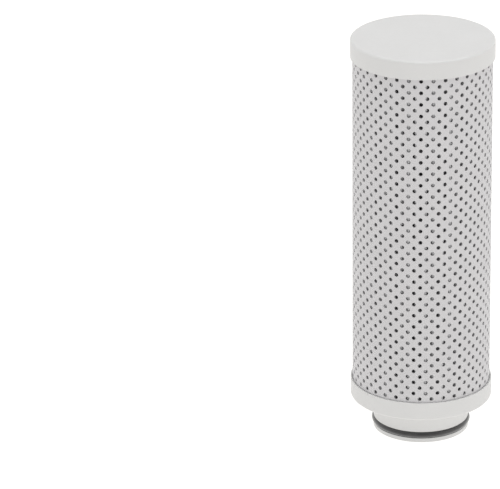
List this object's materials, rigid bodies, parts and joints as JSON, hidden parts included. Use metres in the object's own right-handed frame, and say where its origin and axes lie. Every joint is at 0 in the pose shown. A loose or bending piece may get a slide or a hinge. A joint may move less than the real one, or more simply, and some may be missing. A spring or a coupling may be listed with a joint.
{
  "type": "pleated water filter cartridge",
  "caption": "Replaceable pleated cartridge for an inline water filter, with a closed end cap, a perforated sleeve and an open end cap with an O-ring spigot.",
  "frame": {"origin": "centre of the spigot's end face, on the cartridge's axis, at the lowest point", "axes": "+Z along the axis from the spigot up to the closed end; the cartridge is round, and the seam of the pleated pack is towards +Y"},
  "size_m": [0.0724, 0.0724, 0.21],
  "materials": {
    "closed_end_cap": "satin moulded",
    "open_end_cap": "satin moulded",
    "spigot_o_ring": "satin",
    "perforated_sleeve": "matt",
    "upstream_support_mesh": "woven",
    "upstream_fleece": "felted",
    "filter_medium": "fibrous",
    "downstream_fleece": "felted",
    "downstream_support_mesh": "woven",
    "pleat_seam_clip": "crimped strip",
    "open_end_potting": "cast resin",
    "closed_end_potting": "cast resin"
  },
  "bodies": {
    "root": {"closed_end_cap": "closed_end_cap", "open_end_cap": "open_end_cap", "spigot_o_ring": "spigot_o_ring", "perforated_sleeve": "perforated_sleeve", "upstream_support_mesh": "upstream_support_mesh", "upstream_fleece": "upstream_fleece", "filter_medium": "filter_medium", "downstream_fleece": "downstream_fleece", "downstream_support_mesh": "downstream_support_mesh", "pleat_seam_clip": "pleat_seam_clip", "open_end_potting": "open_end_potting", "closed_end_potting": "closed_end_potting"}
  },
  "joints": []
}
